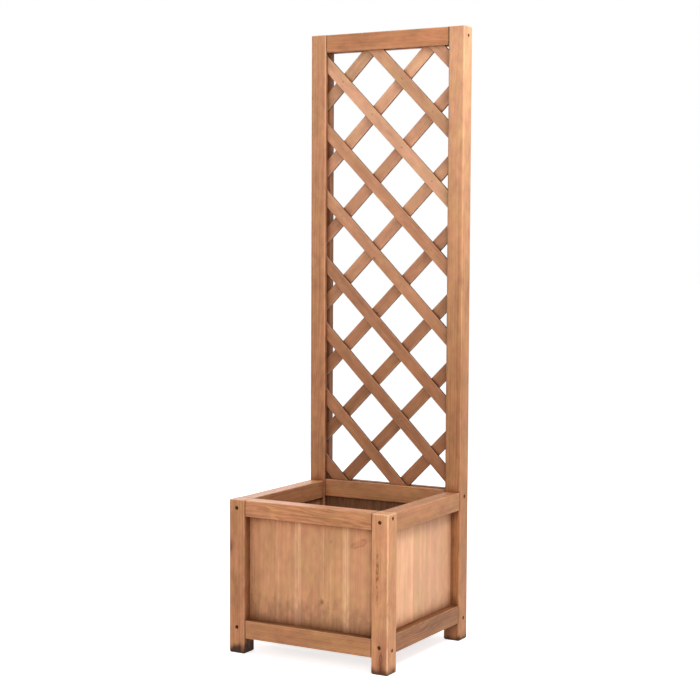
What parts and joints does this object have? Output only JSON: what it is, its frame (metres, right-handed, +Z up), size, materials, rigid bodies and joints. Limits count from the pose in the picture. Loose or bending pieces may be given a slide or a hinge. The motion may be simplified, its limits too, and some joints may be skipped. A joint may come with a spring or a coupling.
{
  "type": "planter with trellis",
  "caption": "Square wooden planter box on post feet, with a tall diagonal lattice trellis held between its rear posts for climbing plants.",
  "frame": {"origin": "on the ground, at the middle of the footprint of the four posts", "axes": "+X to the right seen from the front, +Y to the back where the trellis stands, +Z up"},
  "size_m": [0.374, 0.36, 1.303],
  "materials": {
    "post_wood": "stained softwood, satin",
    "rail_wood": "stained softwood, satin",
    "panel_wood": "stained softwood staves, satin",
    "lattice_wood": "stained softwood, satin",
    "floor_wood": "stained softwood, matt",
    "fastener_steel": "yellow zinc plated"
  },
  "bodies": {
    "root": {"bearer_screws": "fastener_steel", "floor_bearer_left": "floor_wood", "floor_bearer_right": "floor_wood", "floor_board_1": "floor_wood", "floor_board_2": "floor_wood", "floor_board_3": "floor_wood", "floor_board_4": "floor_wood", "floor_board_5": "floor_wood", "floor_nails": "fastener_steel", "frame_screws": "fastener_steel", "front_bottom_rail": "rail_wood", "front_left_post": "post_wood", "front_panel": "panel_wood", "front_right_post": "post_wood", "front_top_rail": "rail_wood", "lattice_back_slat_1": "lattice_wood", "lattice_back_slat_2": "lattice_wood", "lattice_back_slat_3": "lattice_wood", "lattice_back_slat_4": "lattice_wood", "lattice_back_slat_5": "lattice_wood", "lattice_back_slat_6": "lattice_wood", "lattice_back_slat_7": "lattice_wood", "lattice_back_slat_8": "lattice_wood", "lattice_brads": "fastener_steel", "lattice_front_slat_1": "lattice_wood", "lattice_front_slat_2": "lattice_wood", "lattice_front_slat_3": "lattice_wood", "lattice_front_slat_4": "lattice_wood", "lattice_front_slat_5": "lattice_wood", "lattice_front_slat_6": "lattice_wood", "lattice_front_slat_7": "lattice_wood", "lattice_front_slat_8": "lattice_wood", "lattice_front_slat_9": "lattice_wood", "left_bottom_rail": "rail_wood", "left_panel": "panel_wood", "left_top_rail": "rail_wood", "rear_bottom_rail": "rail_wood", "rear_left_post": "post_wood", "rear_panel": "panel_wood", "rear_right_post": "post_wood", "rear_top_rail": "rail_wood", "right_bottom_rail": "rail_wood", "right_panel": "panel_wood", "right_top_rail": "rail_wood", "trellis_top_rail": "rail_wood"}
  },
  "joints": []
}
